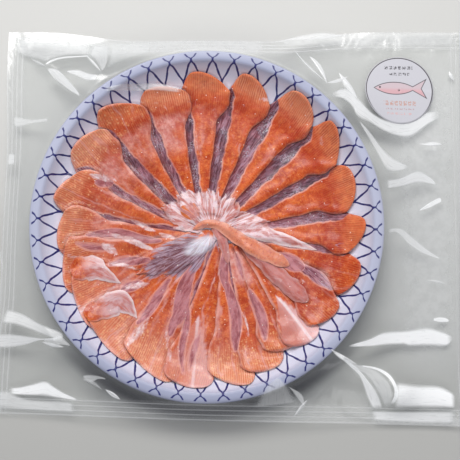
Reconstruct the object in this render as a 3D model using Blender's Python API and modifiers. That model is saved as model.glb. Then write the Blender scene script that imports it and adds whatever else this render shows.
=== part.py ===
"""Trout sashimi laid as a rosette on a round plate and sealed in a clear vacuum bag.

Run with: blender --background --python part.py
Lengths are metres and +Z is up. The origin is the middle of the pack's footprint, on the table.
The plate's own centre stands left of it, because the bag is wider on the side with the label.
"""
import math

import bmesh
import bpy
import numpy as np
from mathutils import Vector
from mathutils.bvhtree import BVHTree

MM = 0.001

# Plate: a pale plastic plate of 212 mm with a flat rim band
PLATE_RADIUS = 106 * MM
PLATE_HEIGHT = 20 * MM
RIM_BAND = 5.8 * MM
PLATE_WALL = 1.6 * MM
FLOOR_RADIUS = 77 * MM
FLOOR_HEIGHT = 3.7 * MM
FOOT_RADIUS = 72 * MM
FOOT_WIDTH = 3 * MM
FOOT_DEPTH = 1.2 * MM
PLATE_SIDES = 64

# Bag: two films, welded along their edges, drawn tight round the plate
FILM = 0.5 * MM
FILM_TO_PLATE = 0.8 * MM
BAG_LEFT = 131 * MM
BAG_LEFT_TOP = 125 * MM
BAG_RIGHT = 162 * MM
BAG_TOP = 123 * MM
BAG_BOTTOM = 121 * MM
BAG_BOTTOM_LEFT = 113 * MM
TOP_EDGE_DRAWN_IN = 9 * MM
LEFT_EDGE_DRAWN_IN = 4 * MM
DRAWN_IN_REACH = 75 * MM
SKIRT_START = 107.4 * MM
SKIRT_LOW = 1.5 * MM
SKIRT_FALL = 22 * MM
SKIRT_RINGS = (0.14, 0.32, 0.55, 0.78, 1.0)
RAYS_ALONG = 18
RAYS_ACROSS = 14

# Label: a round paper sticker on the film, up and right of the plate
LABEL_RADIUS = 21.5 * MM
LABEL_PLACE = (119 * MM, 85 * MM)
LABEL_THICKNESS = 0.4 * MM

# Fish: thin slices with a thick round end at the rim and a tail at the middle
SLICE_THICKNESS = 2.6 * MM
SLICE_EDGE = 0.42
TAIL_THICKNESS = 0.5
HEAD_LENGTH = 0.22
NECK_WIDTH = 0.42
FLANK_WIDTH = 1.75
TAIL_WIDTH = 0.17
NECK_TAIL_WIDTH = 0.5
END_PEAK = 0.5
END_SLOPE = 11 * MM
END_SHOULDER = 6 * MM
USUAL_END = 28 * MM
CLEARANCE = 0.33 * MM
SLICE_STIFFNESS = 2
LOOSE_STIFFNESS = 3
MAP_CELL = 0.5 * MM
MAP_HALF = 104 * MM

# Each slice: angle of its end clockwise from +Y, radius of its end, width of its end,
# where its tail lies (x, y), and how far it bows to the left of its run, in degrees and mm
SLICES = (
    (110, 96, 26, 19, -9, 0),
    (93, 95, 23, 15, -5, 0),
    (73.5, 94, 31, 13, -1, 1),
    (55.5, 97, 28, 11, 4, 1),
    (38, 98, 27, 8, 8, 0),
    (18.5, 95, 26, 3, 9, 0),
    (0, 94, 27, -2, 9, -1),
    (342, 91, 28, -7, 7, -1),
    (323, 94, 28, -10, 4, -2),
    (305, 94, 28, -12, 0, -3),
    (286.5, 92, 28, -10, -4, -2),
    (268.5, 90, 26, -8, -6, -1),
    (254.5, 90, 25, -6, -8, 0),
    (238.5, 93, 27, -3, -9, 0),
    (221.5, 97, 30, 1, -9, 1),
    (201, 95, 28, 4, -9, 2),
    (187.5, 97, 27, 7, -9, 1),
    (171, 96, 26, 10, -10, 0),
    (158.5, 94, 27, 13, -11, -1),
    (149, 88, 22, 17, -12, -1),
    (140, 93, 23, 20, -12, -2),
    (127, 93, 24, 22, -10, 0),
)

# The loose pieces on top: a name, the run's points and the widths at its two ends, in mm
TOPS = (
    ("short_slice", ((59, -46), (44, -34), (30, -22), (17, -10)), 13, 7),
    ("flap_left", ((-83, -25), (-70, -29), (-50, -36)), 12, 4),
    ("flap_low", ((-73, -50), (-59, -48), (-42, -48)), 15, 5),
    ("centre_fold", ((10, -18), (8, -9), (3, -1)), 8, 11),
    ("centre_curl", ((-36, -22), (-22, -19), (-9, -15), (1, -12)), 15, 9),
    ("centre_tail_1", ((-31, 14), (-19, 8), (-9, 0)), 12, 8),
    ("centre_tail_2", ((-17, 20), (-10, 11), (-5, 4)), 13, 8),
    ("centre_tail_3", ((-1, 22), (1, 12), (1, 5)), 14, 8),
    ("centre_tail_4", ((19, 19), (13, 10), (8, 3)), 13, 8),
    ("centre_band", ((66, -16), (50, -11), (34, -5), (20, 0)), 8, 10),
    ("centre_arc", ((41, -20), (27, -13), (15, -5), (3, 1), (-8, -4)), 11, 7),
)

# Pleats of the bag round the plate: start and end of the crest, its height and its width, in mm
PLEATS = (
    ((-84, -66), (-126, -62), 4, 10),
    ((76, -78), (114, -100), 5, 11),
    ((114, -100), (154, -110), 4, 12),
    ((-66, 88), (-100, 100), 4, 10),
    ((66, 92), (92, 68), 3, 10),
    ((102, 30), (142, 42), 3, 11),
)

LAVENDER = (0.62, 0.60, 0.72, 1.0)
FISH_ORANGE = (0.76, 0.27, 0.09, 1.0)
FISH_PINK = (0.80, 0.46, 0.42, 1.0)
FILM_CLEAR = (0.85, 0.87, 0.88, 1.0)
PAPER_WHITE = (0.84, 0.83, 0.86, 1.0)


# ---------------------------------------------------------------- scene, materials and objects

for old in list(bpy.data.objects):
    bpy.data.objects.remove(old, do_unlink=True)

parts = bpy.data.collections.new("trout_sashimi")
bpy.context.scene.collection.children.link(parts)

# The bag's box spans -BAG_LEFT..BAG_RIGHT from the plate's centre, so that centre is off the origin
plate_centre = bpy.data.objects.new("plate_centre", None)
plate_centre.location = ((BAG_LEFT - BAG_RIGHT) / 2, (BAG_BOTTOM - BAG_TOP) / 2, 0)
parts.objects.link(plate_centre)


def finish(name, colour, roughness, alpha=1.0):
    """A plain Principled material."""
    material = bpy.data.materials.new(name)
    material.use_nodes = True
    shader = material.node_tree.nodes["Principled BSDF"]
    shader.inputs["Base Color"].default_value = colour
    shader.inputs["Roughness"].default_value = roughness
    shader.inputs["Metallic"].default_value = 0.0
    shader.inputs["Alpha"].default_value = alpha
    return material


def add_part(name, mesh, material):
    """Link a mesh as a named part that stands on the plate's centre."""
    part = bpy.data.objects.new(name, mesh)
    part.parent = plate_centre
    part.data.materials.append(material)
    parts.objects.link(part)
    return part


def mesh_from(bm, name):
    """Turn a bmesh into a mesh with outward faces and smooth shading."""
    bmesh.ops.recalc_face_normals(bm, faces=bm.faces)
    mesh = bpy.data.meshes.new(name)
    bm.to_mesh(mesh)
    bm.free()
    mesh.shade_smooth()
    mesh.set_sharp_from_angle(angle=math.radians(50))
    return mesh


# ---------------------------------------------------------------- plate

def plate_top():
    """The plate's upper profile, radius and height, from the middle out to the lip."""
    band = PLATE_RADIUS - RIM_BAND
    rise = PLATE_HEIGHT - FLOOR_HEIGHT
    return (
        (0.0, FLOOR_HEIGHT),
        (FLOOR_RADIUS, FLOOR_HEIGHT),
        (FLOOR_RADIUS + 0.34 * (band - FLOOR_RADIUS), FLOOR_HEIGHT + 0.08 * rise),
        (FLOOR_RADIUS + 0.61 * (band - FLOOR_RADIUS), FLOOR_HEIGHT + 0.28 * rise),
        (FLOOR_RADIUS + 0.81 * (band - FLOOR_RADIUS), FLOOR_HEIGHT + 0.55 * rise),
        (FLOOR_RADIUS + 0.94 * (band - FLOOR_RADIUS), FLOOR_HEIGHT + 0.85 * rise),
        (band, PLATE_HEIGHT - 0.5 * MM),
        (band + 1.0 * MM, PLATE_HEIGHT),
        (PLATE_RADIUS - 1.0 * MM, PLATE_HEIGHT - 0.1 * MM),
        (PLATE_RADIUS, PLATE_HEIGHT - 0.7 * MM),
    )


def plate_under():
    """The plate's lower profile, from the lip back to the middle, with its foot ring."""
    band = PLATE_RADIUS - RIM_BAND
    under = FLOOR_HEIGHT - PLATE_WALL
    foot = under - FOOT_DEPTH
    return (
        (PLATE_RADIUS, PLATE_HEIGHT - PLATE_WALL),
        (band + 1.8 * MM, PLATE_HEIGHT - PLATE_WALL - 0.2 * MM),
        (band + 0.4 * MM, PLATE_HEIGHT - PLATE_WALL - 1.5 * MM),
        (band - 3.0 * MM, FLOOR_HEIGHT + 0.50 * (PLATE_HEIGHT - FLOOR_HEIGHT)),
        (band - 8.3 * MM, FLOOR_HEIGHT + 0.20 * (PLATE_HEIGHT - FLOOR_HEIGHT)),
        (band - 14.8 * MM, FLOOR_HEIGHT),
        (FLOOR_RADIUS + 0.5 * MM, under),
        (FOOT_RADIUS + 0.5 * MM, under),
        (FOOT_RADIUS, foot),
        (FOOT_RADIUS - FOOT_WIDTH, foot),
        (FOOT_RADIUS - FOOT_WIDTH - 0.5 * MM, under),
        (0.0, under),
    )


def make_plate():
    """Turn the closed profile about Z."""
    bm = bmesh.new()
    ring = [bm.verts.new((radius, 0, height)) for radius, height in plate_top() + plate_under()]
    for first, second in zip(ring, ring[1:]):
        bm.edges.new((first, second))
    mesh = bpy.data.meshes.new("plate")
    bm.to_mesh(mesh)
    bm.free()
    plate = add_part("plate", mesh, finish("plate_plastic", LAVENDER, 0.3))
    turn = plate.modifiers.new("turn", "SCREW")
    turn.axis = "Z"
    turn.angle = 2 * math.pi
    turn.steps = PLATE_SIDES
    turn.render_steps = PLATE_SIDES
    turn.use_merge_vertices = True
    turn.merge_threshold = 0.00005
    turn.use_smooth_shade = True
    return plate


# ---------------------------------------------------------------- fish, laid piece on piece

TOP_RADII = [radius for radius, height in plate_top()]
TOP_HEIGHTS = [height for radius, height in plate_top()]
map_side = int(2 * MAP_HALF / MAP_CELL) + 1
map_axis = np.linspace(-MAP_HALF, MAP_HALF, map_side)
map_x, map_y = np.meshgrid(map_axis, map_axis, indexing="ij")
# The highest surface so far over each cell of the plate; a cell's far corner stands for all of it
pile = np.interp(np.hypot(map_x, map_y) + 0.7 * MAP_CELL, TOP_RADII, TOP_HEIGHTS)


def cells(points):
    """The map cells under some points."""
    index = np.rint((points[:, :2] + MAP_HALF) / MAP_CELL).astype(int)
    return np.clip(index, 1, map_side - 2)


def spots_on(triangles, corners):
    """Weights that spread test points over every triangle, closer together than the cells."""
    steps = 24
    pairs = [(i / steps, j / steps) for i in range(steps + 1) for j in range(steps + 1 - i)]
    weights = np.array([(a, b, 1 - a - b) for a, b in pairs])
    picked = np.repeat(triangles, len(weights), axis=0)
    weights = np.tile(weights, (len(triangles), 1))
    places = np.einsum("nk,nkd->nd", weights, corners[picked])
    return picked, weights, places


def lay_down(corners, triangles, stiffness):
    """Heights at which a soft sheet's corners rest on the pile, touching it nowhere."""
    picked, weights, places = spots_on(triangles, corners)
    index = cells(places)
    need = np.full(len(places), -1.0)
    for shift_x in (-1, 0, 1):
        for shift_y in (-1, 0, 1):
            below = pile[index[:, 0] + shift_x, index[:, 1] + shift_y]
            need = np.maximum(need, below)
    need = need + CLEARANCE
    at_corner = cells(corners)
    height = pile[at_corner[:, 0], at_corner[:, 1]] + CLEARANCE
    spread = (weights ** 2).sum(axis=1)
    for _ in range(300):
        short = need - (weights * height[picked]).sum(axis=1)
        if short.max() < 0.01 * MM:
            break
        lift = np.zeros(len(height))
        for k in range(3):
            np.maximum.at(lift, picked[:, k], weights[:, k] * np.maximum(short, 0) / spread)
        height = height + lift
    # Then every corner sinks by a share of what is free below it, until the sheet lies snug
    for _ in range(60):
        free = np.maximum((weights * height[picked]).sum(axis=1) - need, 0)
        sink = np.full(len(height), 1.0)
        for k in range(3):
            bears = weights[:, k] > 0
            np.minimum.at(sink, picked[bears, k], free[bears] / weights[bears, k])
        height = height - 0.3 * sink
    # A stiffer sheet bridges the hollows under it: no corner hangs below the mean of its neighbours
    ends = np.vstack([triangles[:, (0, 1)], triangles[:, (1, 2)], triangles[:, (2, 0)]])
    ends = np.unique(np.sort(ends, axis=1), axis=0)
    neighbours = np.bincount(ends.ravel())
    for _ in range(stiffness):
        total = np.bincount(ends[:, 0], height[ends[:, 1]], len(height))
        total += np.bincount(ends[:, 1], height[ends[:, 0]], len(height))
        height = np.maximum(height, total / neighbours)
    return height


def raise_pile(corners, triangles):
    """Note a laid piece's upper side in the map."""
    places = spots_on(triangles, corners)[2]
    index = cells(places)
    np.maximum.at(pile, (index[:, 0], index[:, 1]), places[:, 2])


def lay_slice(name, place, thickness, along, across, stiffness, material):
    """Lay one soft slice on the pile.

    place(u, v) gives x and y from the end (u 0) to the tail (u 1) and across (v -1 to 1),
    and thickness(u, v) how thick it is there.
    """
    bm = bmesh.new()
    bmesh.ops.create_grid(bm, x_segments=along, y_segments=across, size=1.0)
    bmesh.ops.triangulate(bm, faces=bm.faces, quad_method="FIXED")
    u_of = bm.verts.layers.float.new("u")
    v_of = bm.verts.layers.float.new("v")
    for vert in bm.verts:
        vert[u_of] = (vert.co.x + 1) / 2
        vert[v_of] = vert.co.y
        x, y = place(vert[u_of], vert[v_of])
        vert.co = (x, y, 0)
    bm.verts.index_update()
    corners = np.array([vert.co for vert in bm.verts])
    triangles = np.array([[vert.index for vert in face.verts] for face in bm.faces])
    corners[:, 2] = lay_down(corners, triangles, stiffness)
    for vert, height in zip(bm.verts, corners[:, 2]):
        vert.co.z = height
    thick = np.array([thickness(vert[u_of], vert[v_of]) for vert in bm.verts])
    top = bmesh.ops.extrude_face_region(bm, geom=list(bm.faces), use_keep_orig=True)
    for item in top["geom"]:
        if isinstance(item, bmesh.types.BMVert):
            item.co.z += thickness(item[u_of], item[v_of])
    corners[:, 2] += thick
    raise_pile(corners, triangles)
    return add_part(name, mesh_from(bm, name), material)


def slice_shape(angle, radius, width, tail_x, tail_y, bow):
    """Outline of one slice of the rosette, from its round end at the rim to its tail."""
    turn = math.radians(angle)
    end = Vector((math.sin(turn), math.cos(turn))) * radius * MM
    tail = Vector((tail_x, tail_y)) * MM
    run = tail - end
    ahead = run.normalized()
    # Seen from above, v grows anticlockwise round the plate
    aside = Vector((ahead.y, -ahead.x))
    scale = width * MM / USUAL_END

    def place(u, v):
        if v > END_PEAK:
            back = END_SHOULDER * ((v - END_PEAK) / (1 - END_PEAK)) ** 2.5 * scale
        else:
            back = END_SLOPE * ((END_PEAK - v) / (1 + END_PEAK)) ** 1.7 * scale
        # Behind the round head one side draws in to a neck, and the other spreads under the next slice
        past_head = min(1, u / HEAD_LENGTH) ** 2 * (3 - 2 * min(1, u / HEAD_LENGTH))
        if v < 0:
            half = (1 - (1 - NECK_WIDTH) * past_head) * (1 - (1 - NECK_TAIL_WIDTH) * u)
        else:
            half = (1 + (FLANK_WIDTH - 1) * past_head) * (1 - (1 - TAIL_WIDTH) * u)
        half *= 0.5 * width * MM
        spot = end + ahead * (run.length * u + back * (1 - u) ** 3)
        spot = spot + aside * (half * v - bow * MM * 4 * u * (1 - u))
        return spot.x, spot.y

    return place


def slice_thickness(u, v):
    """Thick and rounded at the end, thinner along the sides and towards the tail."""
    rounded = SLICE_EDGE + (1 - SLICE_EDGE) * (1 - v ** 4)
    tip = 0.5 + 0.5 * min(1, u / 0.12)
    return SLICE_THICKNESS * rounded * tip * (1 + (TAIL_THICKNESS - 1) * u)


def top_shape(points, first_width, last_width):
    """Outline of a loose piece that follows a smooth run through a few points."""
    knots = [Vector(point) * MM for point in points]
    knots = [knots[0] * 2 - knots[1]] + knots + [knots[-1] * 2 - knots[-2]]
    spans = len(points) - 1

    def on_run(u):
        span = min(int(u * spans), spans - 1)
        t = u * spans - span
        a, b, c, d = knots[span:span + 4]
        return 0.5 * (2 * b + (c - a) * t + (2 * a - 5 * b + 4 * c - d) * t ** 2
                      + (3 * b - a - 3 * c + d) * t ** 3)

    def place(u, v):
        ahead = (on_run(min(u + 0.02, 1)) - on_run(max(u - 0.02, 0))).normalized()
        aside = Vector((ahead.y, -ahead.x))
        ends = 1 - 0.45 * abs(2 * u - 1) ** 6
        half = 0.5 * MM * (first_width + (last_width - first_width) * u) * ends
        round_end = 0.45 * half * v * v * (1 - 2 * u) ** 3
        spot = on_run(u) + ahead * round_end + aside * half * v
        return spot.x, spot.y

    return place


def top_thickness(u, v):
    """A loose piece is thin and even, with rounded edges."""
    return SLICE_THICKNESS * 0.55 * (0.45 + 0.55 * (1 - v ** 4)) * (1 - 0.4 * abs(2 * u - 1) ** 4)


# ---------------------------------------------------------------- bag and label

def bag_edge():
    """Points along the bag's edge, clockwise from its upper left corner."""
    corners = (
        Vector((-BAG_LEFT_TOP, BAG_TOP)),
        Vector((BAG_RIGHT, BAG_TOP)),
        Vector((BAG_RIGHT, -BAG_BOTTOM)),
        Vector((-BAG_LEFT, -BAG_BOTTOM_LEFT)),
    )
    counts = (RAYS_ALONG, RAYS_ACROSS, RAYS_ALONG, RAYS_ACROSS)
    points = []
    for side, count in enumerate(counts):
        start = corners[side]
        stop = corners[(side + 1) % 4]
        for step in range(count):
            point = start.lerp(stop, step / count)
            # Two edges are drawn in where the plate stands close to them
            if side == 0:
                point.y -= TOP_EDGE_DRAWN_IN * math.exp(-(point.x / DRAWN_IN_REACH) ** 4)
            if side == 3:
                point.x += LEFT_EDGE_DRAWN_IN * math.exp(-(point.y / DRAWN_IN_REACH) ** 4)
            points.append(point)
    return points


def skirt_height(x, y):
    """Height of the film outside the plate: it falls away from the rim, with a few pleats."""
    away = max(0.0, math.hypot(x, y) - SKIRT_START)
    height = SKIRT_LOW + (PLATE_HEIGHT - 1.4 * MM - SKIRT_LOW) * math.exp(-away / SKIRT_FALL)
    spot = Vector((x, y))
    for start, stop, crest, width in PLEATS:
        start = Vector(start) * MM
        run = Vector(stop) * MM - start
        t = min(1.0, max(0.0, (spot - start).dot(run) / run.length_squared))
        gap = (spot - start - run * t).length
        height += crest * MM * math.exp(-(gap / (width * MM)) ** 2) * min(1.0, away / (6 * MM))
    return height


def film_under():
    """The film below the plate: flat under the foot, then along the plate's wall to the lip."""
    wall = [Vector(point) for point in reversed(plate_under()[:7])]
    profile = [Vector((FOOT_RADIUS + 1.5 * MM, FILM))]
    for before, here, after in zip(wall, wall[1:], wall[2:]):
        run = (after - before).normalized()
        profile.append(here + Vector((run.y, -run.x)) * FILM_TO_PLATE)
    profile.append(Vector((PLATE_RADIUS, PLATE_HEIGHT - PLATE_WALL - FILM_TO_PLATE)))
    profile.append(Vector((SKIRT_START, PLATE_HEIGHT - 1.4 * MM)))
    return profile


def make_bag():
    """The film under the plate and the flat skirt round it, as one sheet of even thickness."""
    hug = film_under()
    bm = bmesh.new()
    pole = bm.verts.new((0, 0, FILM))
    rows = []
    for edge_point in bag_edge():
        outward = edge_point.normalized()
        reach = edge_point.length - SKIRT_START
        row = [bm.verts.new((outward.x * r, outward.y * r, z)) for r, z in hug]
        for share in SKIRT_RINGS:
            spot = outward * (SKIRT_START + reach * share)
            row.append(bm.verts.new((spot.x, spot.y, skirt_height(spot.x, spot.y))))
        rows.append(row)
    for row, after in zip(rows, rows[1:] + rows[:1]):
        bm.faces.new((pole, after[0], row[0]))
        for k in range(len(row) - 1):
            bm.faces.new((row[k], after[k], after[k + 1], row[k + 1]))
    bmesh.ops.recalc_face_normals(bm, faces=bm.faces)
    bm.normal_update()
    bm.faces.ensure_lookup_table()
    if bm.faces[0].normal.z < 0:
        bmesh.ops.reverse_faces(bm, faces=bm.faces)
    bmesh.ops.triangulate(bm, faces=bm.faces, quad_method="FIXED")
    mesh = bpy.data.meshes.new("bag")
    bm.to_mesh(mesh)
    bm.free()
    mesh.shade_smooth()
    bag = add_part("bag", mesh, finish("bag_film", FILM_CLEAR, 0.1, alpha=0.35))
    shell = bag.modifiers.new("film", "SOLIDIFY")
    shell.thickness = FILM
    shell.offset = -1
    shell.use_even_offset = True
    return bag


def make_label(bag):
    """A thin disc that lies on the skirt of the bag."""
    film = BVHTree.FromPolygons(
        [vert.co.copy() for vert in bag.data.vertices],
        [tuple(face.vertices) for face in bag.data.polygons],
    )
    bm = bmesh.new()
    bmesh.ops.create_circle(bm, cap_ends=True, segments=24, radius=LABEL_RADIUS)
    rim = list(bm.faces)
    bmesh.ops.inset_region(bm, faces=rim, thickness=LABEL_RADIUS * 0.35)
    bmesh.ops.inset_region(bm, faces=rim, thickness=LABEL_RADIUS * 0.35)
    bmesh.ops.poke(bm, faces=rim)
    bmesh.ops.triangulate(bm, faces=bm.faces)
    spare = LABEL_RADIUS * 0.2
    ring = [(math.cos(turn), math.sin(turn)) for turn in np.linspace(0, 2 * math.pi, 13)]
    for vert in bm.verts:
        vert.co.x += LABEL_PLACE[0]
        vert.co.y += LABEL_PLACE[1]
        above = Vector((vert.co.x, vert.co.y, PLATE_HEIGHT * 2))
        highest = film.ray_cast(above, Vector((0, 0, -1)))[0].z
        for x, y in ring:
            hit = film.ray_cast(above + Vector((x, y, 0)) * spare, Vector((0, 0, -1)))[0]
            highest = max(highest, hit.z)
        vert.co.z = highest + CLEARANCE
    top = bmesh.ops.extrude_face_region(bm, geom=list(bm.faces), use_keep_orig=True)
    for item in top["geom"]:
        if isinstance(item, bmesh.types.BMVert):
            item.co.z += LABEL_THICKNESS
    return add_part("label", mesh_from(bm, "label"), finish("label_paper", PAPER_WHITE, 0.55))


# ---------------------------------------------------------------- the pack

make_plate()

orange = finish("fish_orange", FISH_ORANGE, 0.35)
pink = finish("fish_pink", FISH_PINK, 0.35)
for number, row in enumerate(SLICES, start=1):
    name = f"slice_{number:02d}"
    lay_slice(name, slice_shape(*row), slice_thickness, 9, 6, SLICE_STIFFNESS, orange)
for top_name, points, first_width, last_width in TOPS:
    shape = top_shape(points, first_width, last_width)
    material = orange if top_name == "centre_arc" else pink
    lay_slice(top_name, shape, top_thickness, 7, 3, LOOSE_STIFFNESS, material)

make_label(make_bag())
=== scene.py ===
"""Looks of a plate of trout sashimi that is sealed in a clear vacuum bag."""

import math

import bmesh
import bpy
import numpy as np
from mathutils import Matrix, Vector


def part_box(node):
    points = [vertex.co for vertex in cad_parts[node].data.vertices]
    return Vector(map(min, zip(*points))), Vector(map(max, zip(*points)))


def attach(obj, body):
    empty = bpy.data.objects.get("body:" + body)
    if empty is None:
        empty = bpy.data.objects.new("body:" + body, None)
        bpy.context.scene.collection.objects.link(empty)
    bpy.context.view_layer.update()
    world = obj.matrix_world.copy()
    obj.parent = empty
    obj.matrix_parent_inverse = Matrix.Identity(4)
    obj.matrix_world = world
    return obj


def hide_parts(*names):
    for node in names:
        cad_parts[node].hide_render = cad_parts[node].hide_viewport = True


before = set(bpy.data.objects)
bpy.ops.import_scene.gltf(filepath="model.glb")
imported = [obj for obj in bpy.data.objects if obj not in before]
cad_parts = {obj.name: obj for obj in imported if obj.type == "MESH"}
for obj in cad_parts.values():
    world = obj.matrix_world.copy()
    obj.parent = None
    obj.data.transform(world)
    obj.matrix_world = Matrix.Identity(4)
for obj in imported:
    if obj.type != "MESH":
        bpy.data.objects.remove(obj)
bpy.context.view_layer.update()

# ------------------------------------------------------------------ table, light and camera
# The pack lies on a pale matt table. A large window-like light stands beyond its upper edge,
# and the camera looks down on it from just off the vertical, on the side nearer the viewer.

MM = 0.001
CAMERA_AIM = Vector((-0.0016, -0.0037, 0.010))
CAMERA_HEIGHT = math.radians(84)
CAMERA_DISTANCE = 0.576
VIEW_SPREAD = 0.138 / 0.57  # half width of the view for each metre away

scene = bpy.context.scene
scene.view_settings.view_transform = "Standard"
scene.view_settings.look = "None"


def linear(colour):
    """A colour picked on a screen, 0 to 255, as the linear colour that a shader takes."""
    shares = [value / 255 for value in colour]
    return *(share / 12.92 if share <= 0.04045 else ((share + 0.055) / 1.055) ** 2.4
             for share in shares), 1.0


class Value:
    """What a shader node gives, which can be reckoned with like a number."""

    def __init__(self, look, socket):
        self.look, self.socket = look, socket

    def __rsub__(self, other):
        return self.look.math("SUBTRACT", other, self)


def reckoning(operation):
    return lambda value, *other: value.look.math(operation, value, *other)


for sign, operation in (("add", "ADD"), ("sub", "SUBTRACT"), ("mul", "MULTIPLY"),
                        ("truediv", "DIVIDE"), ("pow", "POWER"), ("abs", "ABSOLUTE")):
    setattr(Value, f"__{sign}__", reckoning(operation))


class Shader:
    """A material whose nodes are added one by one: each call gives the new node's output.
    Lengths are metres, and three numbers for a colour are as picked on a screen, 0 to 255."""

    def __init__(self, name):
        self.material = bpy.data.materials.new(name)
        self.material.use_nodes = True
        self.nodes = self.material.node_tree.nodes
        self.surface = self.nodes["Principled BSDF"]
        self.colour = None

    def put(self, socket, value):
        """Set a socket to a value or link it to an output."""
        if isinstance(value, Value):
            self.material.node_tree.links.new(value.socket, socket)
        else:
            socket.default_value = value

    def add(self, kind, output=0, inputs=None, **settings):
        """Add a node with its settings and, by number or name, its inputs."""
        node = self.nodes.new("ShaderNode" + kind)
        for key, value in settings.items():
            setattr(node, key, value)
        for key, value in (inputs or {}).items():
            self.put(node.inputs[key], value)
        return Value(self, node.outputs[output])

    def math(self, operation, *values):
        return self.add("Math", operation=operation, inputs=dict(enumerate(values)))

    def vectors(self, operation, *values, output=0):
        return self.add("VectorMath", output, operation=operation, inputs=dict(enumerate(values)))

    def vector(self, x, y, z):
        return self.add("CombineXYZ", inputs={0: x, 1: y, 2: z})

    def axis(self, vector, number):
        return self.add("SeparateXYZ", number, inputs={0: vector})

    def blend(self, share, *colours):
        """Mix two colours."""
        first, second = (linear(colour) if isinstance(colour, tuple) and len(colour) == 3
                         else colour for colour in colours)
        return self.add("Mix", 2, data_type="RGBA", inputs={0: share, 6: first, 7: second})

    def coat(self, share, colour):
        """Lay a colour over the colour so far."""
        self.colour = self.blend(share, self.colour, colour)

    def ramp(self, value, low, high, start=0.0, stop=1.0):
        """Bring a value from one range into another along a soft curve, held at its ends."""
        return self.add("MapRange", interpolation_type="SMOOTHSTEP",
                        inputs={0: value, 1: low, 2: high, 3: start, 4: stop})

    def noise(self, place, scale, detail=2.0, roughness=0.5, distortion=0.0):
        return self.add("TexNoise", inputs={"Vector": place, "Scale": scale, "Detail": detail,
                                            "Roughness": roughness, "Distortion": distortion})

    def mark(self, name):
        """A value that the mesh carries at its vertices."""
        return self.add("Attribute", 2, attribute_name=name)

    def spot(self):
        """The place on the object, which is its place in the row."""
        return self.add("TexCoord", 3)

    def flat_way(self, middle, scale=1):
        """The way from a middle to the place, level with the table."""
        way = self.vectors("SUBTRACT", self.spot(), middle)
        return self.vectors("MULTIPLY", way, (scale, scale, 0))

    def faces_up(self):
        """1 on faces that look up, 0 on those that look sideways or down."""
        return self.ramp(self.axis(self.add("NewGeometry", 1), 2), 0.0, 0.1)

    def bump(self, height, depth):
        """Relief of a real depth."""
        return self.add("Bump", inputs={"Height": height, "Distance": depth})

    def finish(self, roughness, relief=None):
        """Give the surface the colour so far, a roughness and a relief."""
        self.put(self.surface.inputs["Base Color"], self.colour)
        self.put(self.surface.inputs["Roughness"], roughness)
        if relief:
            self.put(self.surface.inputs["Normal"], relief)


camera_data = bpy.data.cameras.new("camera")
camera_data.angle = 2 * math.atan(VIEW_SPREAD)
camera = bpy.data.objects.new("camera", camera_data)
towards_viewer = Vector((0, -math.cos(CAMERA_HEIGHT), math.sin(CAMERA_HEIGHT)))
camera.location = CAMERA_AIM + towards_viewer * CAMERA_DISTANCE
camera.rotation_euler = (-towards_viewer).to_track_quat("-Z", "Y").to_euler()
scene.collection.objects.link(camera)
scene.camera = camera

bpy.ops.mesh.primitive_plane_add(size=4, location=(0, 0, -0.0005))
table = bpy.context.object
table.name = "table"
look = Shader("table_paint")
# Painted light: the table is lighter towards the window beyond the upper edge and darker towards
# the viewer
painted_falloff = look.ramp(look.axis(look.spot(), 1), -0.16, 0.14)
look.colour = look.blend(painted_falloff + look.ramp(look.noise(look.spot(), 9, 2), 0, 1, -0.05, 0.05),
                         (180, 180, 177), (206, 206, 203))
look.finish(0.7)
table.data.materials.append(look.material)


def lamp(name, place, width, height, power, colour):
    """A soft rectangular light that faces the plate."""
    data = bpy.data.lights.new(name, "AREA")
    data.shape = "RECTANGLE"
    data.size, data.size_y = width, height
    data.energy = power
    data.color = colour
    light = bpy.data.objects.new(name, data)
    light.location = place
    light.rotation_euler = (-Vector(place)).to_track_quat("-Z", "Y").to_euler()
    scene.collection.objects.link(light)


lamp("window", (-0.08, 0.62, 0.85), 0.75, 0.45, 10.2, (1.0, 0.985, 0.97))
lamp("fill", (0.05, -0.60, 0.75), 0.8, 0.5, 1.5, (1.0, 1.0, 1.0))
world = bpy.data.worlds.new("room_light")
scene.world = world
world.use_nodes = True
world.node_tree.nodes["Background"].inputs["Color"].default_value = (0.84, 0.86, 0.92, 1)
world.node_tree.nodes["Background"].inputs["Strength"].default_value = 0.35

# ------------------------------------------------------------------ plate
# A disposable plate moulded in pale lavender-white plastic, with a flat rim band, a curved wall
# and a foot ring. A dark blue fishing net is printed along the rim and fades down the wall.

plate_low, plate_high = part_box("plate")
PLATE = Vector(((plate_high.x + plate_low.x) / 2, (plate_high.y + plate_low.y) / 2, 0))
PLATE_RADIUS = (plate_high.x - plate_low.x) / 2
PLATE_HEIGHT = plate_high.z
FLOOR_RADIUS = 77 * MM
FLOOR_HEIGHT = 3.7 * MM
BAND = PLATE_RADIUS - 5.8 * MM
FOOT_RADIUS = 72 * MM
WALL = 1.6 * MM
NET_CROSSES = 48
NET_TURN = math.radians(1.9)
NET_LINE = 0.60 * MM
NET_STEP = 2 * math.pi / NET_CROSSES


def smooth_run(points, step):
    """Points along a soft curve through a few places, no further apart than a step."""
    points = np.array(points, float)
    knots = np.vstack([2 * points[0] - points[1], points, 2 * points[-1] - points[-2]])
    run = []
    for a, b, c, d in zip(knots, knots[1:], knots[2:], knots[3:]):
        pieces = max(1, int(np.linalg.norm((c - b)[:2]) / step))
        for t in np.arange(pieces) / pieces:
            run.append(0.5 * (2 * b + (c - a) * t + (2 * a - 5 * b + 4 * c - d) * t ** 2
                              + (3 * b - a - 3 * c + d) * t ** 3))
    return np.array(run + [points[-1]])


def places(out, height, *steps):
    """Places in the plate's profile, given as steps in mm outwards and upwards from a place."""
    return [(out + across * MM, height + up * MM) for across, up in steps]


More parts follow.
